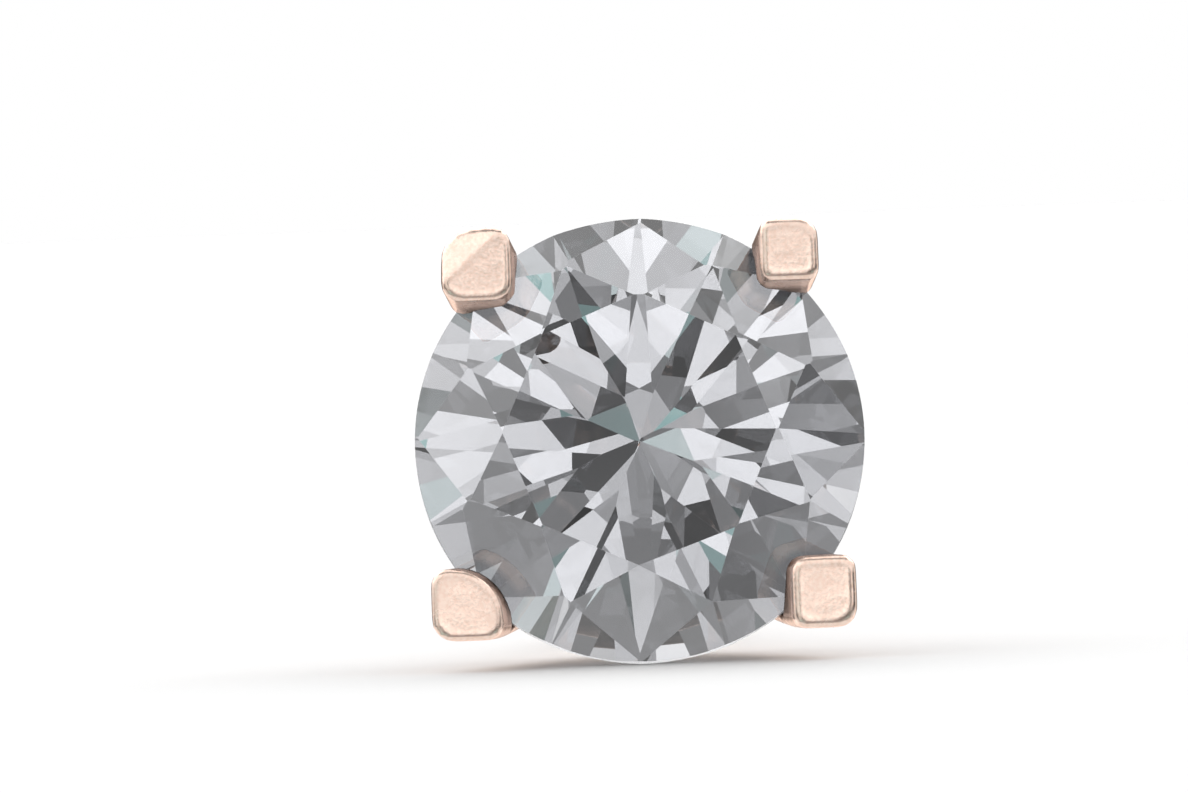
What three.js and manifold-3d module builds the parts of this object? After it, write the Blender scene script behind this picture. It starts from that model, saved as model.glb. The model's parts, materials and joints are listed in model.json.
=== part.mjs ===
// Four-claw stud earring: one round brilliant zircon held by the corner claws of a rose gold basket,
// with a straight ear post soldered to the back of the basket.
// Millimetres. The stud is made on its own axis, +Z out through the stone's table and +Y up, with z = 0
// in the middle of the stone's girdle. It is then laid down as it rests by itself on a table: on the edge
// of its stone and the end of its post, looking along -Y, with +Z up and the origin under its middle.

import * as THREE from "three";
import { mergeVertices } from "three/addons/utils/BufferGeometryUtils.js";
import Module from "manifold-3d";

const wasm = await Module();
wasm.setup();

// Stone
const STONE_WIDTH = 6.0;
const TABLE_SHARE = 0.61; // of the width, corner to corner
const CROWN_ANGLE = 32.5; // of the bezel facets, in degrees from the girdle
const PAVILION_ANGLE = 41.5; // of the pavilion mains, in degrees from the girdle
const GIRDLE_THICKNESS = 0.22;
const STAR_REACH = 0.82; // how far out the star facets' points lie, as a share of the stone's radius
const LOWER_HALF_REACH = 0.22; // how near the culet the lower girdle facets run, as a share of the way out
const CULET_ASIDE = 0.16; // how far the culet lies off the axis, towards +Y
const STONE_TURN = -2; // how far the stone is turned in its claws, in degrees
const GIRDLE_SIDES = 64;
const FACETS_ROUND = 8;

// Basket
const CLAW_TOP = 0.8; // above the middle of the girdle
const CLAW_FOOT = -3.3;
const CLAW_EDGE = 0.13; // radius of the rounded edge round each claw's flat top
const CLAW_FOOT_REACH = 1.35; // from the axis to the middle of a claw's foot
const CLAW_BOW = 0.24; // how far each claw bows out from a straight line
const CLAW_FULL = 0.85; // how far up a claw it reaches the width and height in the table below
const CLAW_STEPS = 6;
const CORNER_STEPS = 2;
const SEAT_GAP = 0.03; // between the stone and the metal that holds it
const WIRE_WIDTH = 0.56; // of the gallery wires
const WIRE_HEIGHT = -1.85;
const WIRE_SIDES = 14;

// The claws as seen from the front. turn is the angle round the axis in degrees, reach the distance from
// the axis to the middle of the claw's top, foot the width of its square foot, and wide and tall the size
// of its top. The rounds are the radii of its upright corners: the one towards the stone, the one away from
// it and the other two. The lower claws are the heavier pair, so the stud rests with them below.
const CLAWS = [
  { turn: 48.4, reach: 3.1, foot: 0.6, wide: 0.82, tall: 0.92, innerRound: 0.16, outerRound: 0.24, sideRound: 0.18 },
  { turn: 131.8, reach: 3.1, foot: 0.6, wide: 0.86, tall: 0.94, innerRound: 0.24, outerRound: 0.4, sideRound: 0.26 },
  { turn: 223.5, reach: 3.28, foot: 0.76, wide: 0.92, tall: 0.98, innerRound: 0.44, outerRound: 0.3, sideRound: 0.24 },
  { turn: 316.5, reach: 3.28, foot: 0.76, wide: 0.86, tall: 0.98, innerRound: 0.22, outerRound: 0.26, sideRound: 0.2 },
];

// Back plate and ear post
const PLATE_WIDTH = 3.6;
const PLATE_BACK = -3.5;
const PLATE_THICKNESS = 0.5;
const PLATE_EDGE = 0.12;
const POST_WIDTH = 0.86;
const POST_LENGTH = 9.5; // behind the plate
const POST_FILLET = 0.18; // of solder where the post leaves the plate
const GROOVE_TO_TIP = 1.9; // the groove that a push-on back clicks into
const GROOVE_DEPTH = 0.09;
const GROOVE_LENGTH = 0.42;
const TIP_ROUND = 0.26;
const ROUND_STEPS = 4;
const LATHE_SIDES = 32;

const gold = new THREE.MeshStandardMaterial({ name: "rose_gold", color: "#f3cdb5", metalness: 1, roughness: 0.18 });
const zircon = new THREE.MeshStandardMaterial({
  name: "zircon",
  color: "#d9d9de",
  metalness: 0,
  roughness: 0.02,
  transparent: true,
  opacity: 0.45,
});

const radians = THREE.MathUtils.degToRad;

// A point at a distance from the axis, an angle round it in degrees and a height along it.
function at(reach, turn, height) {
  return new THREE.Vector3(reach * Math.cos(radians(turn)), reach * Math.sin(radians(turn)), height);
}

function solidOf(geometry) {
  const bare = geometry.clone();
  bare.deleteAttribute("normal");
  bare.deleteAttribute("uv");
  const welded = mergeVertices(bare);
  return new wasm.Manifold(
    new wasm.Mesh({
      numProp: 3,
      vertProperties: welded.attributes.position.array,
      triVerts: new Uint32Array(welded.index.array),
    }),
  );
}

function geometryOf(solid) {
  const { vertProperties, triVerts } = solid.getMesh();
  const geometry = new THREE.BufferGeometry();
  geometry.setAttribute("position", new THREE.BufferAttribute(vertProperties, 3));
  geometry.setIndex(new THREE.BufferAttribute(triVerts, 1));
  return geometry;
}

// The planes of a round brilliant, each through three of its corners: the table, then for every eighth of
// a turn a bezel, a star, a pavilion main, two upper girdle facets and two lower girdle facets.
function brilliantPlanes() {
  const radius = STONE_WIDTH / 2;
  const halfStep = 180 / FACETS_ROUND;
  const aside = Math.cos(radians(halfStep));
  const crown = Math.tan(radians(CROWN_ANGLE));
  const pavilion = Math.tan(radians(PAVILION_ANGLE));
  const girdleTop = GIRDLE_THICKNESS / 2;
  const tableReach = radius * TABLE_SHARE;
  const tableHeight = girdleTop + (radius - tableReach) * crown;
  const starReach = radius * STAR_REACH;
  const starHeight = tableHeight - (starReach * aside - tableReach) * crown;
  const culet = new THREE.Vector3(0, CULET_ASIDE, -girdleTop - radius * pavilion);

  const tableCorner = (turn) => at(tableReach, turn, tableHeight);
  const starPoint = (turn) => at(starReach, turn, starHeight);
  const girdleEdge = (turn, side) => at(radius, turn, side * girdleTop);
  const mainCorner = (turn) => at(radius / aside, turn, -girdleTop);
  const lowerPoint = (turn) => culet.clone().lerp(mainCorner(turn), LOWER_HALF_REACH);

  const corners = [[tableCorner(0), tableCorner(90), tableCorner(180)]];
  for (let turn = STONE_TURN; turn < STONE_TURN + 360; turn += 2 * halfStep) {
    const before = turn - halfStep;
    const after = turn + halfStep;
    corners.push([tableCorner(turn), starPoint(before), starPoint(after)]);
    corners.push([tableCorner(turn), tableCorner(turn + 2 * halfStep), starPoint(after)]);
    corners.push([culet, mainCorner(before), mainCorner(after)]);
    for (const side of [before, after]) {
      corners.push([starPoint(side), girdleEdge(turn, 1), girdleEdge(side, 1)]);
      corners.push([lowerPoint(side), girdleEdge(turn, -1), girdleEdge(side, -1)]);
    }
  }
  return corners.map((three) => {
    const plane = new THREE.Plane().setFromCoplanarPoints(...three);
    return plane.constant > 0 ? plane.negate() : plane;
  });
}

// The stone, cut from a round blank that has one of its sides straight down. grown moves every face out by
// that much.
function brilliant(grown) {
  const radius = (STONE_WIDTH / 2 + grown) / Math.cos(Math.PI / GIRDLE_SIDES);
  const blank = new THREE.CylinderGeometry(radius, radius, 2 * STONE_WIDTH, GIRDLE_SIDES)
    .rotateX(Math.PI / 2)
    .rotateZ(Math.PI / GIRDLE_SIDES);
  return brilliantPlanes().reduce((stone, { normal, constant }) => {
    const inward = normal.clone().negate().toArray();
    return stone.trimByPlane(inward, constant - grown);
  }, solidOf(blank));
}

// A claw at a height: the distance of its middle from the axis, and its width and height beside its top's.
function clawAt({ reach, foot, wide, tall }, height) {
  const rise = THREE.MathUtils.clamp((height - CLAW_FOOT) / (CLAW_TOP - CLAW_FOOT), 0, 1);
  const bow = CLAW_BOW * Math.sin(Math.PI * rise);
  const shape = Math.min(1, rise / CLAW_FULL);
  return {
    middle: THREE.MathUtils.lerp(CLAW_FOOT_REACH, reach, rise) + bow,
    across: THREE.MathUtils.lerp(foot / wide, 1, shape),
    up: THREE.MathUtils.lerp(foot / tall, 1, shape),
  };
}

// A claw's section: a square with its sides along X and Y, whose corners have radii of their own.
function clawSection({ turn, wide, tall, innerRound, outerRound, sideRound }) {
  const section = new THREE.Shape();
  for (const corner of [45, 135, 225, 315]) {
    const away = Math.cos(radians(corner - turn));
    const round = away > 0.7 ? outerRound : away < -0.7 ? innerRound : sideRound;
    const x = Math.sign(Math.cos(radians(corner))) * (wide / 2 - round);
    const y = Math.sign(Math.sin(radians(corner))) * (tall / 2 - round);
    section.absarc(x, y, round, radians(corner - 45), radians(corner + 45));
  }
  return section;
}

// A claw: its section drawn upwards with a rounded edge at the end, then leant out along its line.
function claw(row) {
  const geometry = new THREE.ExtrudeGeometry(clawSection(row), {
    depth: CLAW_TOP - CLAW_FOOT - 2 * CLAW_EDGE,
    steps: CLAW_STEPS,
    curveSegments: CORNER_STEPS,
    bevelSize: CLAW_EDGE,
    bevelOffset: -CLAW_EDGE,
    bevelThickness: CLAW_EDGE,
    bevelSegments: ROUND_STEPS,
  }).translate(0, 0, CLAW_FOOT + CLAW_EDGE);
  const points = geometry.attributes.position;
  for (let i = 0; i < points.count; i++) {
    const height = points.getZ(i);
    const { middle, across, up } = clawAt(row, height);
    const { x, y } = at(middle, row.turn, height);
    points.setXYZ(i, x + across * points.getX(i), y + up * points.getY(i), height);
  }
  return solidOf(geometry);
}

// A gallery wire between two neighbouring claws.
function galleryWire(from, to) {
  const start = at(clawAt(from, WIRE_HEIGHT).middle, from.turn, WIRE_HEIGHT);
  const end = at(clawAt(to, WIRE_HEIGHT).middle, to.turn, WIRE_HEIGHT);
  const length = start.distanceTo(end);
  const along = end.clone().sub(start).normalize();
  const turn = new THREE.Quaternion().setFromUnitVectors(new THREE.Vector3(0, 1, 0), along);
  const middle = start.clone().lerp(end, 0.5);
  return solidOf(
    new THREE.CylinderGeometry(WIRE_WIDTH / 2, WIRE_WIDTH / 2, length, WIRE_SIDES)
      .applyQuaternion(turn)
      .translate(middle.x, middle.y, middle.z),
  );
}

// The outline of the back plate and the ear post, from the axis at the tip round to the axis at the front.
function backProfile() {
  const plateReach = PLATE_WIDTH / 2;
  const postReach = POST_WIDTH / 2;
  const plateFront = PLATE_BACK + PLATE_THICKNESS;
  const tip = PLATE_BACK - POST_LENGTH;
  const groove = tip + GROOVE_TO_TIP;
  const profile = new THREE.Path();
  profile.moveTo(0, tip);
  profile.lineTo(postReach - TIP_ROUND, tip);
  profile.absarc(postReach - TIP_ROUND, tip + TIP_ROUND, TIP_ROUND, -Math.PI / 2, 0);
  profile.lineTo(postReach, groove - GROOVE_LENGTH / 2);
  profile.quadraticCurveTo(postReach - 2 * GROOVE_DEPTH, groove, postReach, groove + GROOVE_LENGTH / 2);
  profile.lineTo(postReach, PLATE_BACK - POST_FILLET);
  profile.absarc(postReach + POST_FILLET, PLATE_BACK - POST_FILLET, POST_FILLET, Math.PI, Math.PI / 2, true);
  profile.lineTo(plateReach - PLATE_EDGE, PLATE_BACK);
  profile.absarc(plateReach - PLATE_EDGE, PLATE_BACK + PLATE_EDGE, PLATE_EDGE, -Math.PI / 2, 0);
  profile.absarc(plateReach - PLATE_EDGE, plateFront - PLATE_EDGE, PLATE_EDGE, 0, Math.PI / 2);
  profile.lineTo(0, plateFront);
  return profile.getPoints(ROUND_STEPS);
}

// Plate, post, claws and wires, soldered into one piece, with the stone's seats cut in the claws.
function setting() {
  const back = solidOf(new THREE.LatheGeometry(backProfile(), LATHE_SIDES).rotateX(Math.PI / 2));
  const wires = CLAWS.map((row, i) => galleryWire(row, CLAWS[(i + 1) % CLAWS.length]));
  const soldered = [...CLAWS.map(claw), ...wires].reduce((joined, piece) => joined.add(piece), back);
  return soldered.subtract(brilliant(SEAT_GAP));
}

// The stud leans back until its post's end is as low as its stone's edge. Returns that angle in radians.
function restTilt(...geometries) {
  const points = geometries.flatMap(({ attributes: { position } }) =>
    Array.from({ length: position.count }, (_, i) => new THREE.Vector3().fromBufferAttribute(position, i)),
  );
  const behind = points.filter(({ z }) => z < PLATE_BACK);
  const ahead = points.filter(({ z }) => z >= PLATE_BACK);
  const lowest = (some, tilt) =>
    Math.min(...some.map(({ y, z }) => y * Math.cos(tilt) + z * Math.sin(tilt)));
  let [less, more] = [0, Math.PI / 4];
  for (let i = 0; i < 40; i++) {
    const tilt = (less + more) / 2;
    if (lowest(behind, tilt) > lowest(ahead, tilt)) less = tilt;
    else more = tilt;
  }
  return (less + more) / 2;
}

const basket = new THREE.Mesh(geometryOf(setting()), gold);
basket.name = "claw_setting";
const stone = new THREE.Mesh(geometryOf(brilliant(0)), zircon);
stone.name = "stone";

const stud = new THREE.Group();
stud.add(basket, stone);
stud.rotation.x = Math.PI / 2 - restTilt(basket.geometry, stone.geometry);
const bounds = new THREE.Box3().setFromObject(stud, true);
const middle = bounds.getCenter(new THREE.Vector3());
stud.position.set(-middle.x, -middle.y, -bounds.min.z);

const earring = new THREE.Group();
earring.add(stud);

export default earring;
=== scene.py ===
"""Four-claw stud: a round brilliant zircon in a rose gold basket with an ear post, on a white floor.

The pieces are made in millimetres in the stud's own frame, with +Z out through the stone's table, +Y up and
z = 0 in the middle of the girdle. Each is then laid in the frame of the solids, in metres.
"""

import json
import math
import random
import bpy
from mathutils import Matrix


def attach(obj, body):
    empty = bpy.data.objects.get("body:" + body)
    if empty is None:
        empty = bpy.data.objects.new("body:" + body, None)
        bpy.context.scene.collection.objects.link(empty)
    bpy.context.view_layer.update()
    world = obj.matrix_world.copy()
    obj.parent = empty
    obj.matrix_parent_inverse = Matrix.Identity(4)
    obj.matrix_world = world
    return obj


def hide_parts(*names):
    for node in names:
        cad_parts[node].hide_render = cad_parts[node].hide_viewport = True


bl_info = {
    "name": "Four-claw stud",
    "version": (1, 0, 0),
    "blender": (4, 5, 0),
    "location": "3D View > Sidebar > Stud",
    "description": "Makes a brilliant-cut stud in a claw setting, with its floor, light and camera",
    "category": "Add Mesh",
}

from types import SimpleNamespace

import bmesh
import bpy
from bpy.props import CollectionProperty, FloatProperty, FloatVectorProperty, PointerProperty
from mathutils import Matrix, Vector

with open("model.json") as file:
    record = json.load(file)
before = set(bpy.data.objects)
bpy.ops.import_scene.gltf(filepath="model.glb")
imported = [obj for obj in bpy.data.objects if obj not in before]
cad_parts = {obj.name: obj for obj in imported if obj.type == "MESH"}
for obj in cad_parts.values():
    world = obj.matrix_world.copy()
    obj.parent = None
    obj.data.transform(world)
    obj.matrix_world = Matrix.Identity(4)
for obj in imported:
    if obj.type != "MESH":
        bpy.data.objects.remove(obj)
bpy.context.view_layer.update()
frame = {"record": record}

MM = 0.001
FACETS_ROUND = 8
ROUND_SIDES = 180
CUTTER_SEED = 5
ZIRCON_IOR = 1.95
SAME_POINT = 1e-5

# Places of the materials on the stone, after its facets
BRUTED = 1
WORN = 2

# A Mix node's colour sockets, by place because their names are not unique
COLOUR_A = 6
COLOUR_B = 7
COLOUR_MIXED = 2

# The claws as seen from the front, upper right first and then round to the left. turn is the angle round
# the axis in degrees, and reach the distance from the axis to the middle of the top. foot is the width of
# the square foot, wide and tall are the size of the top. The rounds are the radii of the upright corners:
# towards the stone, away from it and the other two. The bevel is how far the file took down the top's outer
# corner, and slope its angle in degrees. Lengths are in millimetres.
CLAW_COLUMNS = "turn reach foot wide tall inner_round outer_round side_round bevel slope"
CLAW_ROWS = (
    (48.9, 3.18, 0.60, 0.80, 0.86, 0.16, 0.24, 0.18, 0.03, 12),
    (131.8, 3.16, 0.60, 0.96, 1.02, 0.24, 0.42, 0.28, 0.16, 20),
    (223.5, 3.28, 0.76, 0.96, 0.98, 0.68, 0.30, 0.24, 0.02, 12),
    (316.5, 3.28, 0.76, 0.88, 0.98, 0.22, 0.26, 0.20, 0.03, 12),
)

# The studio round the stud, by direction. azimuth is in degrees from the camera, positive to the right, and
# elevation is above the floor. The halves are half the width and height of each box or flag in degrees. A
# later row covers what it overlaps of the rows before it.
STUDIO_COLUMNS = "azimuth elevation half_width half_height strength colour"
STUDIO_ROWS = {
    "floor behind": (180, -26, 80, 14, 1.2, "#FFFFFF"),
    "back wall": (180, 2, 70, 14, 0.25, "#FFFFFF"),
    "back window": (180, 42, 60, 16, 2.5, "#FFFFFF"),
    "left window": (-88, 34, 22, 18, 1.5, "#FFFFFF"),
    "upper left window": (-42, 48, 15, 9, 1.45, "#FFFFFF"),
    "ceiling lamp": (0, 88, 90, 10, 1.3, "#FFFFFF"),
    "ceiling gap": (0, 67, 32, 9, 0.20, "#FFFFFF"),
    "dark table": (0, -14, 46, 11, 0.32, "#FFFFFF"),
    "left flag": (-52, 5, 10, 12, 0.08, "#FFFFFF"),
    "right flag": (56, 8, 14, 12, 0.05, "#FFFFFF"),
    "left strip": (-29, 20, 6, 11, 1.2, "#E4F0EE"),
    "left bar": (-18, 24, 4, 8, 0.10, "#FFFFFF"),
    "right strip": (33, 22, 6, 10, 1.1, "#FFFFFF"),
    "right bar": (21, 18, 5, 7, 0.10, "#FFFFFF"),
    "right gloom": (22, 1, 16, 7, 0.08, "#FFFFFF"),
    "left gloom": (-17, 2, 6, 6, 0.02, "#FFFFFF"),
    "camera glow": (-3, 5, 7, 7, 1.25, "#FFFFFF"),
    "front card": (0, 18, 14, 6, 1.52, "#FFFFFF"),
    "upper bar": (2, 29, 7, 3, 0.45, "#FFFFFF"),
    "lens": (0, 22, 3, 2.5, 0.30, "#FFFFFF"),
    "left lamp": (-28, -9, 7, 5, 1.1, "#B6DEDA"),
    "right lamp": (28, -9, 6, 5, 0.9, "#B6DEDA"),
}


def linear(hex_colour):
    """An sRGB hex colour as linear red, green and blue."""
    levels = [int(hex_colour[i : i + 2], 16) / 255 for i in (1, 3, 5)]
    return tuple(c / 12.92 if c <= 0.04045 else ((c + 0.055) / 1.055) ** 2.4 for c in levels)


def length(name, description, millimetres):
    """A length that a user can change."""
    return FloatProperty(
        name=name, description=description, default=millimetres * MM, unit="LENGTH", precision=5
    )


def angle(name, description, degrees):
    """An angle that a user can change."""
    return FloatProperty(
        name=name, description=description, default=math.radians(degrees), subtype="ANGLE"
    )


def share(name, description, default):
    """A share of another size."""
    return FloatProperty(
        name=name, description=description, default=default, min=0, max=1, subtype="FACTOR"
    )


def colour(name, description, hex_colour):
    """A colour that a user can change."""
    return FloatVectorProperty(
        name=name, description=description, default=linear(hex_colour), min=0, max=1, subtype="COLOR"
    )


class StoneSizes(bpy.types.PropertyGroup):
    """Sizes and colours of the cut stone."""

    width: length("Width", "Across the girdle", 6.0)
    girdle: length("Girdle", "Thickness of the girdle", 0.22)
    table: share("Table", "Table's width, corner to corner, beside the stone's", 0.61)
    crown: angle("Crown", "Slope of the bezel facets", 32.5)
    pavilion: angle("Pavilion", "Slope of the pavilion mains", 41.5)
    star: share("Star", "How far out the star facets' points lie", 0.82)
    lower_half: share("Lower halves", "How near the culet the lower girdle facets begin", 0.22)
    culet_aside: length("Culet aside", "How far the culet lies off the axis", 0.16)
    turn: angle("Turn", "How far the stone is turned in its claws", -2)
    wander: angle("Wander", "How far a facet may lean from its rule, as hand cutting leaves it", 0.7)
    arris: length("Arris", "Width of the worn line along each facet edge", 0.028)
    haze: share("Haze", "Roughness left on the facets by the polishing lap", 0.006)
    tint: colour("Tint", "Colour that the stone's depth lets through", "#00265C")
    depth: FloatProperty(name="Depth", description="How fast the stone darkens, per metre", default=70)


class ClawSizes(bpy.types.PropertyGroup):
    """Sizes of one claw."""

    turn: angle("Turn", "Angle round the axis", 45)
    reach: length("Reach", "From the axis to the middle of the top", 3.1)
    foot: length("Foot", "Width of the square foot", 0.6)
    wide: length("Wide", "Width of the top", 0.86)
    tall: length("Tall", "Height of the top", 0.94)
    inner_round: length("Inner round", "Radius of the corner towards the stone", 0.2)
    outer_round: length("Outer round", "Radius of the corner away from the stone", 0.26)
    side_round: length("Side round", "Radius of the other two corners", 0.2)
    bevel: length("Bevel", "How far the outer corner of the top is filed down", 0.05)
    slope: angle("Slope", "Slope of the filed corner", 15)


class BasketSizes(bpy.types.PropertyGroup):
    """Sizes and colours of the claw setting."""

    claws: CollectionProperty(type=ClawSizes, name="Claws", description="The four claws")
    claw_top: length("Claw top", "Claw tops above the middle of the girdle", 0.77)
    claw_foot: length("Claw foot", "Claw feet above the middle of the girdle", -3.3)
    claw_edge: length("Claw edge", "Rounded edge of the claw tops", 0.08)
    foot_reach: length("Foot reach", "From the axis to the middle of a claw's foot", 1.35)
    bow: length("Bow", "How far a claw bows out from a straight line", 0.24)
    full: share("Full", "How far up a claw it is at its full section", 0.85)
    seat_gap: length("Seat gap", "Between the stone and the metal", 0.03)
    wire_width: length("Wire width", "Thickness of the gallery wires", 0.56)
    wire_height: length("Wire height", "Gallery wires above the middle of the girdle", -1.85)
    plate_width: length("Plate width", "Across the back plate", 3.6)
    plate_back: length("Plate back", "Back of the plate above the middle of the girdle", -3.5)
    plate_thickness: length("Plate thickness", "Thickness of the back plate", 0.5)
    plate_edge: length("Plate edge", "Rounded edge of the back plate", 0.12)
    post_width: length("Post width", "Thickness of the ear post", 0.86)
    post_length: length("Post length", "Ear post behind the plate", 9.5)
    post_fillet: length("Post fillet", "Solder where the post leaves the plate", 0.18)
    groove_to_tip: length("Groove to tip", "From the groove's middle to the post's end", 1.9)
    groove_depth: length("Groove depth", "Depth of the groove that a push-on back clicks into", 0.09)
    groove_length: length("Groove length", "Length of the groove along the post", 0.42)
    tip_round: length("Tip round", "Rounded end of the post", 0.26)
    solder: length("Solder", "Fineness of the fused surface, which softens every joint", 0.041)
    metal: colour("Metal", "Polished rose gold", "#FBE3D4")
    rim: colour("Rim", "What the metal mirrors at a glancing angle", "#F9E6DC")
    shade: colour("Shade", "Rose gold where the buff left it duller", "#F5D7C6")
    # Painted shade: the dark grey painted on metal faces turned to the stone, standing for the seat's shadow
    # and dark reflection
    painted_seat_shade: colour("Painted seat shade", "Painted shade on the metal facing the stone", "#4A4441")


class StageSizes(bpy.types.PropertyGroup):
    """Floor, light and camera."""

    floor_width: length("Floor width", "Width of the floor", 4000)
    floor: colour("Floor", "White card", "#E6E6E6")
    floor_shade: colour("Floor shade", "White card between its fibres", "#E2E2E2")
    view_width: length("View width", "How much of the stone's plane the picture is wide", 15.855)
    aside: length("Aside", "The stone to the right of the picture's middle", 0.61)
    below: length("Below", "The stone below the picture's middle", 0.597)
    distance: length("Distance", "From the camera to the stone", 160)
    height: angle("Height", "How far the camera looks down", 1.0)
    roll: angle("Roll", "How far the picture is turned", 2.15)
    ground: FloatProperty(name="Ground", description="Light from straight below", default=0.9)
    horizon: FloatProperty(name="Horizon", description="Light from the horizon", default=0.75)
    zenith: FloatProperty(name="Zenith", description="Light from straight above", default=1.3)


def in_millimetres(group):
    """The values of a group by name, with its lengths in millimetres."""
    values = {}
    for name in group.__annotations__:
        value = getattr(group, name)
        unit = getattr(group.bl_rna.properties[name], "unit", "NONE")
        values[name] = value / MM if unit == "LENGTH" else value
    return SimpleNamespace(**values)


def stud_placement():
    """The stud's own frame in millimetres, as it lies in the frame of the solids in metres."""
    lobe_seat = frame["record"]["mounts"][0]
    _, back, height = lobe_seat["pos_m"]
    out = -Vector(lobe_seat["axis"]).normalized()
    right = Vector((1, 0, 0))
    up = out.cross(right)
    middle = Vector((0, back, height)) - out * bpy.context.scene.stud_basket.plate_back
    turned = Matrix((right, up, out)).transposed().to_4x4()
    return Matrix.Translation(middle) @ turned @ Matrix.Scale(MM, 4)


def add_node(tree, kind, *values, **settings):
    """Adds a node with its settings. values fill its sockets in order, as values, links or whole nodes."""
    node = tree.nodes.new(kind)
    named = settings.pop("sockets", {})
    for name, value in settings.items():
        setattr(node, name, value)
    for socket, value in [*enumerate(values), *named.items()]:
        if isinstance(value, bpy.types.Node):
            value = value.outputs[0]
        if isinstance(value, bpy.types.NodeSocket):
            tree.links.new(value, node.inputs[socket])
        else:
            node.inputs[socket].default_value = value
    return node


def new_geometry_tree(name, sizes, vectors=()):
    """A Geometry Nodes tree with named inputs, and those inputs by name."""
    tree = bpy.data.node_groups.new(name, "GeometryNodeTree")
    tree.interface.new_socket("geometry", in_out="OUTPUT", socket_type="NodeSocketGeometry")
    for title in sizes:
        tree.interface.new_socket(title, in_out="INPUT", socket_type="NodeSocketFloat")
    for title in vectors:
        tree.interface.new_socket(title, in_out="INPUT", socket_type="NodeSocketVector")
    tree.interface.new_socket("material", in_out="INPUT", socket_type="NodeSocketMaterial")
    return tree, add_node(tree, "NodeGroupInput").outputs


def end_tree(tree, geometry, material):
    """Ends a tree with its instances realized and its material set."""
    plain = add_node(tree, "GeometryNodeRealizeInstances", geometry)
    painted = add_node(tree, "GeometryNodeSetMaterial", plain, sockets={"Material": material})
    add_node(tree, "NodeGroupOutput", painted)


def evaluated_mesh(name, mesh, add_modifiers):
    """The plain mesh that a mesh gives once modifiers are added to it."""
    carrier = bpy.data.objects.new(name, mesh)
    bpy.context.scene.collection.objects.link(carrier)
    add_modifiers(carrier)
    depsgraph = bpy.context.evaluated_depsgraph_get()
    result = bpy.data.meshes.new_from_object(carrier.evaluated_get(depsgraph), depsgraph=depsgraph)
    bpy.data.objects.remove(carrier)
    if not result.polygons:
        raise RuntimeError(f"{name} came out empty")
    return result


def run_tree(tree, values):
    """The plain mesh that a tree gives for the values of its inputs."""

    def add_modifiers(carrier):
        modifier = carrier.modifiers.new(tree.name, "NODES")
        modifier.node_group = tree
        for item in tree.interface.items_tree:
            if item.in_out == "INPUT":
                modifier[item.identifier] = values[item.name]

    return evaluated_mesh(tree.name, bpy.data.meshes.new(tree.name), add_modifiers)


def finish_piece(name, mesh, node):
    """Lays a mesh in the frame of the solids, as the piece that stands for a node."""
    mesh.transform(stud_placement())
    mesh.name = name
    piece = bpy.data.objects.new(name, mesh)
    bpy.context.scene.collection.objects.link(piece)
    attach(piece, "root")
    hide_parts(node)


def around(reach, turn, height):
    """A point at a distance from the axis, an angle round it and a height along it."""
    return Vector((reach * math.cos(turn), reach * math.sin(turn), height))


def brilliant_planes(stone):
    """The facets of a round brilliant as planes through three of its corners, the table first."""
    radius = stone.width / 2
    half_step = math.pi / FACETS_ROUND
    aside = math.cos(half_step)
    girdle_top = stone.girdle / 2
    table_reach = radius * stone.table
    table_height = girdle_top + (radius - table_reach) * math.tan(stone.crown)
    star_reach = radius * stone.star
    star_height = table_height - (star_reach * aside - table_reach) * math.tan(stone.crown)
    culet = Vector((0, stone.culet_aside, -girdle_top - radius * math.tan(stone.pavilion)))

    planes = [(Vector((0, 0, table_height)), Vector((0, 0, 1)))]
    for step in range(FACETS_ROUND):
        turn = stone.turn + step * 2 * half_step
        sides = (turn - half_step, turn + half_step)
        table_corner = around(table_reach, turn, table_height)
        next_corner = around(table_reach, turn + 2 * half_step, table_height)
        stars = [around(star_reach, side, star_height) for side in sides]
        main_corners = [around(radius / aside, side, -girdle_top) for side in sides]
        corners = [
            (table_corner, *stars),
            (table_corner, next_corner, stars[1]),
            (culet, *main_corners),
        ]
        for side, star, main_corner in zip(sides, stars, main_corners):
            upper = [around(radius, edge, girdle_top) for edge in (turn, side)]
            lower = [around(radius, edge, -girdle_top) for edge in (turn, side)]
            corners.append((star, *upper))
            corners.append((culet.lerp(main_corner, stone.lower_half), *lower))
        for first, second, third in corners:
            normal = (second - first).cross(third - first).normalized()
            middle = (first + second + third) / 3
            planes.append((middle, -normal if normal.dot(middle) < 0 else normal))
    return planes


def trim(solid, point, normal):
    """Cuts a closed mesh by a plane, drops what lies beyond it and closes the cut."""
    trimmed = bmesh.ops.bisect_plane(
        solid,
        geom=[*solid.verts, *solid.edges, *solid.faces],
        dist=SAME_POINT,
        plane_co=point,
        plane_no=normal,
        clear_outer=True,
    )
    rim = [part for part in trimmed["geom_cut"] if isinstance(part, bmesh.types.BMEdge)]
    if rim:
        bmesh.ops.contextual_create(solid, geom=rim)


def cut_brilliant(stone, sides, grown=0.0, wander=0.0):
    """A round blank cut by the brilliant's planes, each moved out by grown and leant by up to wander."""
    hand = random.Random(CUTTER_SEED)
    cut = bmesh.new()
    radius = stone.width / 2 + grown
    bmesh.ops.create_cone(
        cut, cap_ends=True, segments=sides, radius1=radius, radius2=radius, depth=2 * stone.width
    )
    for place, (point, normal) in enumerate(brilliant_planes(stone)):
        lean = Vector([hand.uniform(-wander, wander) for _ in range(3)])
        if place > 0:
            normal = (normal + lean).normalized()
        trim(cut, point + normal * grown, normal)
    bmesh.ops.recalc_face_normals(cut, faces=cut.faces)
    mesh = bpy.data.meshes.new("brilliant")
    cut.to_mesh(mesh)
    cut.free()
    return mesh


def new_material(name):
    """A material with its node tree and its surface node."""
    material = bpy.data.materials.new(name)
    material.use_nodes = True
    return material, material.node_tree, material.node_tree.nodes["Principled BSDF"]


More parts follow.
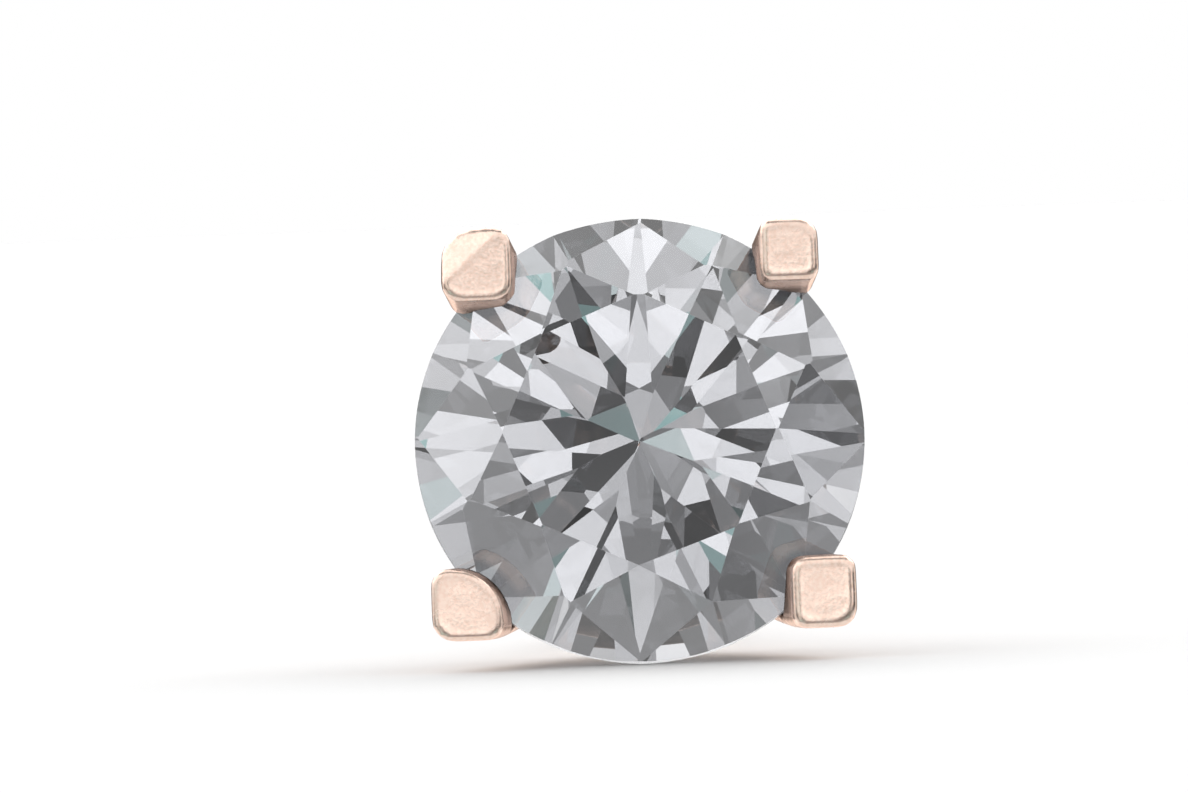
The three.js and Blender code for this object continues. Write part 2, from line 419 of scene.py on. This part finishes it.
def make_clear(surface, transmission=1.0):
    """Gives a surface the clearness and the refraction of zircon."""
    surface.inputs["Base Color"].default_value = (1, 1, 1, 1)
    surface.inputs["IOR"].default_value = ZIRCON_IOR
    surface.inputs["Transmission Weight"].default_value = transmission


def fill_with_tint(tree, stone):
    """Lets the stone's depth tint the light that crosses it."""
    tint = (*stone.tint, 1)
    depth = add_node(tree, "ShaderNodeVolumeAbsorption", sockets={"Color": tint, "Density": stone.depth})
    tree.links.new(depth.outputs[0], tree.nodes["Material Output"].inputs["Volume"])


def zircon_material(stone):
    """Polished zircon: a clear stone of high refraction that greys where light crosses it many times."""
    material, tree, surface = new_material("polished zircon")
    make_clear(surface)
    # The lap leaves lines of a few thousandths of a millimetre. They are drawn as patches 0.15 mm across, so
    # that they show as a faint unevenness of the facets.
    place = add_node(tree, "ShaderNodeTexCoord").outputs["Object"]
    lap = add_node(
        tree,
        "ShaderNodeTexNoise",
        sockets={"Vector": place, "Scale": 1 / (0.15 * MM), "Detail": 3},
    )
    haze = add_node(
        tree,
        "ShaderNodeMapRange",
        sockets={"Value": lap, "From Min": 0.45, "From Max": 0.75, "To Max": 2 * stone.haze},
    )
    tree.links.new(haze.outputs[0], surface.inputs["Roughness"])
    fill_with_tint(tree, stone)
    return material


def girdle_material(stone):
    """Bruted zircon: the girdle is ground and not polished, so it is frosted."""
    material, tree, surface = new_material("bruted zircon girdle")
    make_clear(surface)
    # Grinding grain 0.03 mm across
    place = add_node(tree, "ShaderNodeTexCoord").outputs["Object"]
    grain = add_node(
        tree, "ShaderNodeTexNoise", sockets={"Vector": place, "Scale": 1 / (0.03 * MM), "Detail": 2}
    )
    frost = add_node(
        tree, "ShaderNodeMapRange", sockets={"Value": grain, "To Min": 0.15, "To Max": 0.45}
    )
    tree.links.new(frost.outputs[0], surface.inputs["Roughness"])
    fill_with_tint(tree, stone)
    return material


def worn_edge_material():
    """Worn zircon: wear leaves the facet edges slightly milky, a little paler than the facets."""
    material, tree, surface = new_material("worn zircon edge")
    make_clear(surface, transmission=0.4)
    # Tiny chips, 0.1 mm apart along an edge
    place = add_node(tree, "ShaderNodeTexCoord").outputs["Object"]
    chips = add_node(tree, "ShaderNodeTexNoise", sockets={"Vector": place, "Scale": 1 / (0.1 * MM)})
    milky = add_node(
        tree,
        "ShaderNodeMapRange",
        sockets={"Value": chips, "From Min": 0.3, "From Max": 0.7, "To Min": 0.1, "To Max": 0.5},
    )
    tree.links.new(milky.outputs[0], surface.inputs["Roughness"])
    return material


def rose_gold_material(basket):
    """Buffed 14K rose gold: a pale pink metal with fine file marks on faces that are not quite flat.

    Where it faces the stone, below the claws' upper ends, it is painted dark grey: painted shade that stands
    for the shadow and dark reflection of the stone's seat.
    """
    material, tree, surface = new_material("buffed rose gold")
    surface.inputs["Metallic"].default_value = 1
    surface.inputs["Specular Tint"].default_value = (*basket.rim, 1)
    coordinates = add_node(tree, "ShaderNodeTexCoord")
    place = coordinates.outputs["Object"]
    # File marks 0.05 mm apart and about 0.6 mm long, rising to the right across the claw tops
    drawn = add_node(
        tree,
        "ShaderNodeMapping",
        sockets={
            "Vector": place,
            "Rotation": (0, math.radians(38), 0),
            "Scale": (1 / (0.6 * MM), 1 / (0.6 * MM), 1 / (0.05 * MM)),
        },
    )
    marks = add_node(
        tree, "ShaderNodeTexNoise", sockets={"Vector": drawn, "Scale": 1, "Detail": 4, "Roughness": 0.6}
    )
    # The sand-like grain that a fine abrasive leaves, drawn 0.05 mm across so that it shows
    grain = add_node(
        tree, "ShaderNodeTexNoise", sockets={"Vector": place, "Scale": 1 / (0.05 * MM), "Detail": 2}
    )
    # A hand-filed face rises and falls every 0.5 mm or so
    swell = add_node(
        tree, "ShaderNodeTexNoise", sockets={"Vector": place, "Scale": 1 / (0.5 * MM), "Detail": 2}
    )
    speckle = add_node(tree, "ShaderNodeMapRange", grain, 0.35, 0.65)
    tone = add_node(
        tree,
        "ShaderNodeMix",
        speckle,
        sockets={COLOUR_A: (*basket.metal, 1), COLOUR_B: (*basket.shade, 1)},
        data_type="RGBA",
    )
    # Painted shade: faces turned to the stone, apart from the claws' upper ends, are painted dark grey to
    # stand for the shadow and dark reflection of the stone's seat
    placement = stud_placement()
    inwards = add_node(tree, "ShaderNodeVectorMath", placement.translation, place, operation="SUBTRACT")
    sunk = add_node(
        tree, "ShaderNodeVectorMath", inwards, placement.col[2].xyz.normalized(), operation="DOT_PRODUCT"
    )
    below_ends = add_node(tree, "ShaderNodeMapRange", sunk.outputs["Value"], -0.55 * MM, -0.4 * MM)
    to_stone = add_node(tree, "ShaderNodeVectorMath", inwards, operation="NORMALIZE")
    facing = add_node(
        tree, "ShaderNodeVectorMath", to_stone, coordinates.outputs["Normal"], operation="DOT_PRODUCT"
    )
    turned_in = add_node(tree, "ShaderNodeMapRange", facing.outputs["Value"], 0.25, 0.7)
    # Where the painted seat shade goes: below the claws' upper ends and turned to the stone
    seat_shade_mask = add_node(tree, "ShaderNodeMath", below_ends, turned_in, operation="MULTIPLY")
    # Mixes the painted seat shade into the metal's colour
    skin = add_node(
        tree,
        "ShaderNodeMix",
        seat_shade_mask,
        sockets={COLOUR_A: tone.outputs[COLOUR_MIXED], COLOUR_B: (*basket.painted_seat_shade, 1)},
        data_type="RGBA",
    )
    tree.links.new(skin.outputs[COLOUR_MIXED], surface.inputs["Base Color"])
    gloss = add_node(
        tree,
        "ShaderNodeMapRange",
        sockets={"Value": swell, "From Min": 0.3, "From Max": 0.7, "To Min": 0.18, "To Max": 0.3},
    )
    tree.links.new(gloss.outputs[0], surface.inputs["Roughness"])
    uneven = add_node(
        tree, "ShaderNodeBump", sockets={"Height": swell, "Strength": 0.4, "Distance": 0.02 * MM}
    )
    filed = add_node(
        tree,
        "ShaderNodeBump",
        sockets={"Height": marks, "Strength": 0.08, "Distance": 0.004 * MM, "Normal": uneven},
    )
    sanded = add_node(
        tree,
        "ShaderNodeBump",
        sockets={"Height": grain, "Strength": 0.4, "Distance": 0.004 * MM, "Normal": filed},
    )
    tree.links.new(sanded.outputs[0], surface.inputs["Normal"])
    return material


def card_material(stage):
    """White card: matt paper with a faint tooth, which takes the shadow softly."""
    material, tree, surface = new_material("white card")
    surface.inputs["Roughness"].default_value = 0.9
    place = add_node(tree, "ShaderNodeTexCoord").outputs["Object"]
    # Paper tooth, 0.2 mm from fibre to fibre
    tooth = add_node(
        tree, "ShaderNodeTexNoise", sockets={"Vector": place, "Scale": 1 / (0.2 * MM), "Detail": 3}
    )
    tone = add_node(
        tree,
        "ShaderNodeMix",
        tooth,
        sockets={COLOUR_A: (*stage.floor, 1), COLOUR_B: (*stage.floor_shade, 1)},
        data_type="RGBA",
    )
    tree.links.new(tone.outputs[COLOUR_MIXED], surface.inputs["Base Color"])
    return material


def claw_tree():
    """A claw: a square section with a radius for each corner, drawn up a leaning line that bows outwards.

    The section is first swept up a line one unit long, so that a point's height says how far along the claw
    it lies. Each point is then moved to that place on the leaning line.
    """
    sizes = ("foot", "wide", "tall", "inner_round", "outer_round", "side_round", "full")
    tree, given = new_geometry_tree("claw", sizes, vectors=("foot_at", "bow_at", "top_at"))
    position = add_node(tree, "GeometryNodeInputPosition")

    flat = add_node(tree, "ShaderNodeVectorMath", given["top_at"], (1, 1, 0), operation="MULTIPLY")
    outward = add_node(tree, "ShaderNodeVectorMath", flat, operation="NORMALIZE")
    corner = add_node(tree, "ShaderNodeVectorMath", position, operation="SIGN")
    away = add_node(tree, "ShaderNodeVectorMath", corner, outward, operation="DOT_PRODUCT").outputs["Value"]
    is_outer = add_node(tree, "ShaderNodeMath", away, 1.0, operation="GREATER_THAN")
    is_inner = add_node(tree, "ShaderNodeMath", away, -1.0, operation="LESS_THAN")
    inner_or_side = add_node(
        tree, "GeometryNodeSwitch", is_inner, given["side_round"], given["inner_round"], input_type="FLOAT"
    )
    radius = add_node(
        tree, "GeometryNodeSwitch", is_outer, inner_or_side, given["outer_round"], input_type="FLOAT"
    )
    square = add_node(
        tree, "GeometryNodeCurvePrimitiveQuadrilateral", given["wide"], given["tall"], mode="RECTANGLE"
    )
    section = add_node(
        tree,
        "GeometryNodeFilletCurve",
        square,
        sockets={"Count": 7, "Radius": radius, "Limit Radius": True},
        mode="POLY",
    )
    unit_line = add_node(tree, "GeometryNodeCurvePrimitiveLine", (0, 0, 0), (0, 0, 1))
    stepped = add_node(tree, "GeometryNodeResampleCurve", unit_line, sockets={"Count": 40})
    swept = add_node(tree, "GeometryNodeCurveToMesh", stepped, section, sockets={"Fill Caps": True})

    x, y, along = add_node(tree, "ShaderNodeSeparateXYZ", position).outputs
    moved = []
    for across, full_size in ((x, given["wide"]), (y, given["tall"])):
        at_foot = add_node(tree, "ShaderNodeMath", given["foot"], full_size, operation="DIVIDE")
        grown = add_node(
            tree,
            "ShaderNodeMapRange",
            along,
            sockets={"From Max": given["full"], "To Min": at_foot, "To Max": 1.0},
        )
        moved.append(add_node(tree, "ShaderNodeMath", across, grown, operation="MULTIPLY"))
    beside = add_node(tree, "ShaderNodeCombineXYZ", *moved)
    line = add_node(
        tree,
        "GeometryNodeCurveQuadraticBezier",
        sockets={
            "Resolution": 32,
            "Start": given["foot_at"],
            "Middle": given["bow_at"],
            "End": given["top_at"],
        },
    )
    on_line = add_node(tree, "GeometryNodeSampleCurve", line, sockets={"Factor": along}, mode="FACTOR")
    leant = add_node(
        tree, "ShaderNodeVectorMath", on_line.outputs["Position"], beside, operation="ADD"
    )
    claw = add_node(tree, "GeometryNodeSetPosition", swept, sockets={"Position": leant})
    end_tree(tree, claw, given["material"])
    return tree


def gallery_tree():
    """The gallery: a round wire bent into a square that joins the four claws."""
    corners = ("corner_1", "corner_2", "corner_3", "corner_4")
    tree, given = new_geometry_tree("gallery", ("wire_width",), vectors=corners)
    square = add_node(tree, "GeometryNodeCurvePrimitiveQuadrilateral", mode="POINTS")
    for place, corner in enumerate(corners, start=1):
        tree.links.new(given[corner], square.inputs[f"Point {place}"])
    radius = add_node(tree, "ShaderNodeMath", given["wire_width"], 0.5, operation="MULTIPLY")
    section = add_node(
        tree, "GeometryNodeCurvePrimitiveCircle", sockets={"Resolution": 28, "Radius": radius}
    )
    wire = add_node(tree, "GeometryNodeCurveToMesh", square, section)
    end_tree(tree, wire, given["material"])
    return tree


def claw_line(basket, claw):
    """The foot, bow and top points of the line that a claw follows."""
    foot = around(basket.foot_reach, claw.turn, basket.claw_foot)
    top = around(claw.reach, claw.turn, basket.claw_top)
    return foot, foot.lerp(top, 0.5) + around(2 * basket.bow, claw.turn, 0), top


def on_claw_line(basket, claw, height):
    """The point of a claw's line at a height."""
    rise = (height - basket.claw_foot) / (basket.claw_top - basket.claw_foot)
    foot, bow, top = claw_line(basket, claw)
    return foot.lerp(bow, rise).lerp(bow.lerp(top, rise), rise)


def file_claw(mesh, basket, claw):
    """Files the outer corner of a claw's top down to a slope."""
    filed = bmesh.new()
    filed.from_mesh(mesh)
    bmesh.ops.remove_doubles(filed, verts=filed.verts, dist=SAME_POINT)
    bmesh.ops.recalc_face_normals(filed, faces=filed.faces)
    tips = [vert.co for vert in filed.verts if vert.co.z > basket.claw_top - 0.01]
    corner = max(tips, key=around(1, claw.turn, 0).dot)
    slope = around(math.sin(claw.slope), claw.turn, math.cos(claw.slope))
    trim(filed, corner - Vector((0, 0, claw.bevel)), slope)
    filed.to_mesh(mesh)
    filed.free()


def round_edges(carrier, basket):
    """Rounds the sharp edges of a claw."""
    rounded = carrier.modifiers.new("rounded", "BEVEL")
    rounded.width = basket.claw_edge
    rounded.segments = 4
    rounded.limit_method = "ANGLE"
    rounded.angle_limit = math.radians(20)


def back_mesh(basket):
    """The back plate and the ear post, turned as one piece from the tip to the plate's front."""
    plate_reach = basket.plate_width / 2
    post_reach = basket.post_width / 2
    plate_front = basket.plate_back + basket.plate_thickness
    tip = basket.plate_back - basket.post_length
    groove = tip + basket.groove_to_tip

    def arc(reach, height, radius, start, end, steps=8):
        turns = [math.radians(start + (end - start) * step / steps) for step in range(steps + 1)]
        return [(reach + radius * math.cos(turn), height + radius * math.sin(turn)) for turn in turns]

    groove_steps = 16
    outline = [(0, tip)]
    outline += arc(post_reach - basket.tip_round, tip + basket.tip_round, basket.tip_round, -90, 0)
    for step in range(groove_steps + 1):
        along = step / groove_steps - 0.5
        depth = basket.groove_depth * math.cos(math.pi * along) ** 2
        outline.append((post_reach - depth, groove + along * basket.groove_length))
    fillet = basket.post_fillet
    outline += arc(post_reach + fillet, basket.plate_back - fillet, fillet, 180, 90)
    edge = basket.plate_edge
    outline += arc(plate_reach - edge, basket.plate_back + edge, edge, -90, 0)
    outline += arc(plate_reach - edge, plate_front - edge, edge, 0, 90)
    outline.append((0, plate_front))

    turned = bmesh.new()
    verts = [turned.verts.new((reach, 0, height)) for reach, height in outline]
    edges = [turned.edges.new(pair) for pair in zip(verts, verts[1:])]
    bmesh.ops.spin(
        turned, geom=[*verts, *edges], cent=(0, 0, 0), axis=(0, 0, 1), angle=2 * math.pi, steps=96
    )
    bmesh.ops.remove_doubles(turned, verts=turned.verts, dist=1e-4)
    bmesh.ops.recalc_face_normals(turned, faces=turned.faces)
    mesh = bpy.data.meshes.new("back")
    turned.to_mesh(mesh)
    turned.free()
    return mesh


def solder(meshes, seat, fineness):
    """Fuses meshes into one skin, less the stone's seat, with every joint softened by solder and buffing."""
    joined = bmesh.new()
    for mesh in meshes:
        joined.from_mesh(mesh)
    together = bpy.data.meshes.new("together")
    joined.to_mesh(together)
    joined.free()

    def fuse(carrier):
        remesh = carrier.modifiers.new("fuse", "REMESH")
        remesh.mode = "VOXEL"
        remesh.voxel_size = fineness

    def cut_and_buff(carrier):
        seats = carrier.modifiers.new("seats", "BOOLEAN")
        seats.operation = "DIFFERENCE"
        seats.object = cutter
        fuse(carrier)
        buff = carrier.modifiers.new("buff", "SMOOTH")
        buff.factor = 0.5
        buff.iterations = 6

    cutter = bpy.data.objects.new("seat", seat)
    bpy.context.scene.collection.objects.link(cutter)
    fused = evaluated_mesh("fused", together, fuse)
    skin = evaluated_mesh("skin", fused, cut_and_buff)
    bpy.data.objects.remove(cutter)
    skin.shade_smooth()
    return skin


class STUD_OT_stone(bpy.types.Operator):
    """Cuts the zircon as a round brilliant with worn facet edges and a ground girdle"""

    bl_idname = "stud.stone"
    bl_label = "Cut stone"

    def execute(self, context):
        stone = in_millimetres(context.scene.stud_stone)
        blank = cut_brilliant(stone, sides=ROUND_SIDES, wander=stone.wander)

        def wear_edges(carrier):
            arris = carrier.modifiers.new("arris", "BEVEL")
            arris.width = stone.arris
            arris.segments = 2
            arris.limit_method = "ANGLE"
            arris.angle_limit = math.radians(3)
            arris.material = WORN

        for material in (zircon_material(stone), girdle_material(stone), worn_edge_material()):
            blank.materials.append(material)
        mesh = evaluated_mesh("stone", blank, wear_edges)
        mesh.shade_flat()
        for face in mesh.polygons:
            if abs(face.normal.z) < 0.05:
                face.material_index = BRUTED
        finish_piece("zircon_brilliant", mesh, "stone")
        return {"FINISHED"}


class STUD_OT_basket(bpy.types.Operator):
    """Makes the claws, gallery, back plate and ear post, soldered into one rose gold basket"""

    bl_idname = "stud.basket"
    bl_label = "Make basket"

    def execute(self, context):
        basket = in_millimetres(context.scene.stud_basket)
        stone = in_millimetres(context.scene.stud_stone)
        claws = [in_millimetres(claw) for claw in basket.claws]
        gold = rose_gold_material(basket)
        shared = {**vars(basket), "material": gold}

        tree = claw_tree()
        meshes = [back_mesh(basket)]
        for claw in claws:
            foot, bow, top = claw_line(basket, claw)
            line = {"foot_at": foot, "bow_at": bow, "top_at": top}
            mesh = run_tree(tree, {**shared, **vars(claw), **line})
            file_claw(mesh, basket, claw)
            meshes.append(evaluated_mesh("claw", mesh, lambda carrier: round_edges(carrier, basket)))
        corners = {
            f"corner_{place}": on_claw_line(basket, claw, basket.wire_height)
            for place, claw in enumerate(claws, start=1)
        }
        meshes.append(run_tree(gallery_tree(), {**shared, **corners}))

        seat = cut_brilliant(stone, sides=ROUND_SIDES, grown=basket.seat_gap)
        skin = solder(meshes, seat, basket.solder)
        skin.materials.clear()
        skin.materials.append(gold)
        finish_piece("claw_basket", skin, "claw_setting")
        return {"FINISHED"}


def add_floor(scene, stage):
    """A wide white card under the stud. Only the camera sees it: the stone mirrors the studio instead."""
    half = stage.floor_width / 2
    corners = [(-half, -half, 0), (half, -half, 0), (half, half, 0), (-half, half, 0)]
    mesh = bpy.data.meshes.new("floor")
    mesh.from_pydata(corners, [], [(0, 1, 2, 3)])
    mesh.materials.append(card_material(stage))
    floor = bpy.data.objects.new("floor", mesh)
    floor.visible_glossy = False
    floor.visible_transmission = False
    floor.visible_shadow = False
    scene.collection.objects.link(floor)


def add_studio(scene, stage):
    """A white studio drawn by direction, with windows and dark flags. The camera sees it as plain white."""
    world = bpy.data.worlds.new("studio")
    world.use_nodes = True
    scene.world = world
    tree = world.node_tree
    tree.nodes.clear()
    direction = add_node(tree, "ShaderNodeTexCoord").outputs["Generated"]
    x, y, z = add_node(tree, "ShaderNodeSeparateXYZ", direction).outputs
    to_camera = add_node(tree, "ShaderNodeMath", y, -1.0, operation="MULTIPLY")
    azimuth = add_node(tree, "ShaderNodeMath", x, to_camera, operation="ARCTAN2")
    elevation = add_node(tree, "ShaderNodeMath", z, operation="ARCSINE")
    narrowing = add_node(tree, "ShaderNodeMath", elevation, operation="COSINE")

    white = (1, 1, 1, 1)
    level = stage.horizon
    for limit, end in ((-45, stage.ground), (75, stage.zenith)):
        slope = add_node(
            tree,
            "ShaderNodeMapRange",
            elevation,
            sockets={"From Max": math.radians(limit), "To Min": 0.0, "To Max": end - stage.horizon},
            interpolation_type="SMOOTHSTEP",
        )
        level = add_node(tree, "ShaderNodeMath", level, slope, operation="ADD")
    glow = add_node(tree, "ShaderNodeVectorMath", white[:3], sockets={"Scale": level}, operation="SCALE")
    glow = glow.outputs[0]
    soft = math.radians(2)
    for row in STUDIO_ROWS.values():
        box = SimpleNamespace(**dict(zip(STUDIO_COLUMNS.split(), row)))
        aside = add_node(
            tree, "ShaderNodeMath", azimuth, math.radians(box.azimuth), operation="SUBTRACT"
        )
        wrapped = add_node(tree, "ShaderNodeMath", aside, math.pi, -math.pi, operation="WRAP")
        across = add_node(tree, "ShaderNodeMath", wrapped, narrowing, operation="MULTIPLY")
        above = add_node(
            tree, "ShaderNodeMath", elevation, math.radians(box.elevation), operation="SUBTRACT"
        )
        inside = []
        for offset, half in ((across, box.half_width), (above, box.half_height)):
            distance = add_node(tree, "ShaderNodeMath", offset, operation="ABSOLUTE")
            inside.append(
                add_node(
                    tree,
                    "ShaderNodeMapRange",
                    distance,
                    math.radians(half) + soft,
                    math.radians(half) - soft,
                    interpolation_type="SMOOTHSTEP",
                )
            )
        covered = add_node(tree, "ShaderNodeMath", *inside, operation="MULTIPLY")
        light = (*(part * box.strength for part in linear(box.colour)), 1)
        mixed = add_node(
            tree, "ShaderNodeMix", covered, sockets={COLOUR_A: glow, COLOUR_B: light}, data_type="RGBA"
        )
        glow = mixed.outputs[COLOUR_MIXED]
    studio = add_node(tree, "ShaderNodeBackground", glow, 1.0)
    plain = add_node(tree, "ShaderNodeBackground", white, 1.0)
    seen = add_node(tree, "ShaderNodeLightPath").outputs["Is Camera Ray"]
    mixed = add_node(tree, "ShaderNodeMixShader", seen, studio, plain)
    add_node(tree, "ShaderNodeOutputWorld", mixed)


def add_camera(scene, stage):
    """The camera before the stone, turned and set aside as the picture is framed."""
    lens = bpy.data.cameras.new("camera")
    lens.lens = lens.sensor_width * stage.distance / stage.view_width
    lens.clip_start = 0.01
    lens.clip_end = 10
    forward = Vector((0, math.cos(stage.height), -math.sin(stage.height)))
    level = Vector((1, 0, 0))
    upright = level.cross(forward)
    right = level * math.cos(stage.roll) - upright * math.sin(stage.roll)
    up = level * math.sin(stage.roll) + upright * math.cos(stage.roll)
    stone = stud_placement().translation
    eye = stone - forward * stage.distance - right * stage.aside + up * stage.below
    camera = bpy.data.objects.new("camera", lens)
    camera.matrix_world = Matrix.Translation(eye) @ Matrix((right, up, -forward)).transposed().to_4x4()
    scene.collection.objects.link(camera)
    scene.camera = camera


class STUD_OT_stage(bpy.types.Operator):
    """Sets the floor, the studio light and the camera"""

    bl_idname = "stud.stage"
    bl_label = "Set stage"

    def execute(self, context):
        scene = context.scene
        stage = scene.stud_stage
        add_floor(scene, stage)
        add_studio(scene, stage)
        add_camera(scene, stage)
        scene.view_settings.view_transform = "Standard"
        scene.cycles.max_bounces = 14
        scene.cycles.transmission_bounces = 14
        scene.cycles.glossy_bounces = 6
        return {"FINISHED"}


class STUD_PT_panel(bpy.types.Panel):
    """Lists the steps that make the stud"""

    bl_idname = "STUD_PT_panel"
    bl_label = "Four-claw stud"
    bl_space_type = "VIEW_3D"
    bl_region_type = "UI"
    bl_category = "Stud"

    def draw(self, context):
        for operator in STEPS:
            self.layout.operator(operator.bl_idname)


STEPS = (STUD_OT_stone, STUD_OT_basket, STUD_OT_stage)
CLASSES = (StoneSizes, ClawSizes, BasketSizes, StageSizes, *STEPS, STUD_PT_panel)


def register():
    for one_class in CLASSES:
        bpy.utils.register_class(one_class)
    bpy.types.Scene.stud_stone = PointerProperty(type=StoneSizes)
    bpy.types.Scene.stud_basket = PointerProperty(type=BasketSizes)
    bpy.types.Scene.stud_stage = PointerProperty(type=StageSizes)


def unregister():
    del bpy.types.Scene.stud_stone
    del bpy.types.Scene.stud_basket
    del bpy.types.Scene.stud_stage
    for one_class in reversed(CLASSES):
        bpy.utils.unregister_class(one_class)


def fill_claws(basket):
    """Gives each claw its own sizes."""
    for row in CLAW_ROWS:
        claw = basket.claws.add()
        for name, value in zip(CLAW_COLUMNS.split(), row):
            setattr(claw, name, math.radians(value) if name in ("turn", "slope") else value * MM)


def main():
    register()
    fill_claws(bpy.context.scene.stud_basket)
    bpy.ops.stud.stone()
    bpy.ops.stud.basket()
    bpy.ops.stud.stage()


if __name__ == "__main__":
    main()
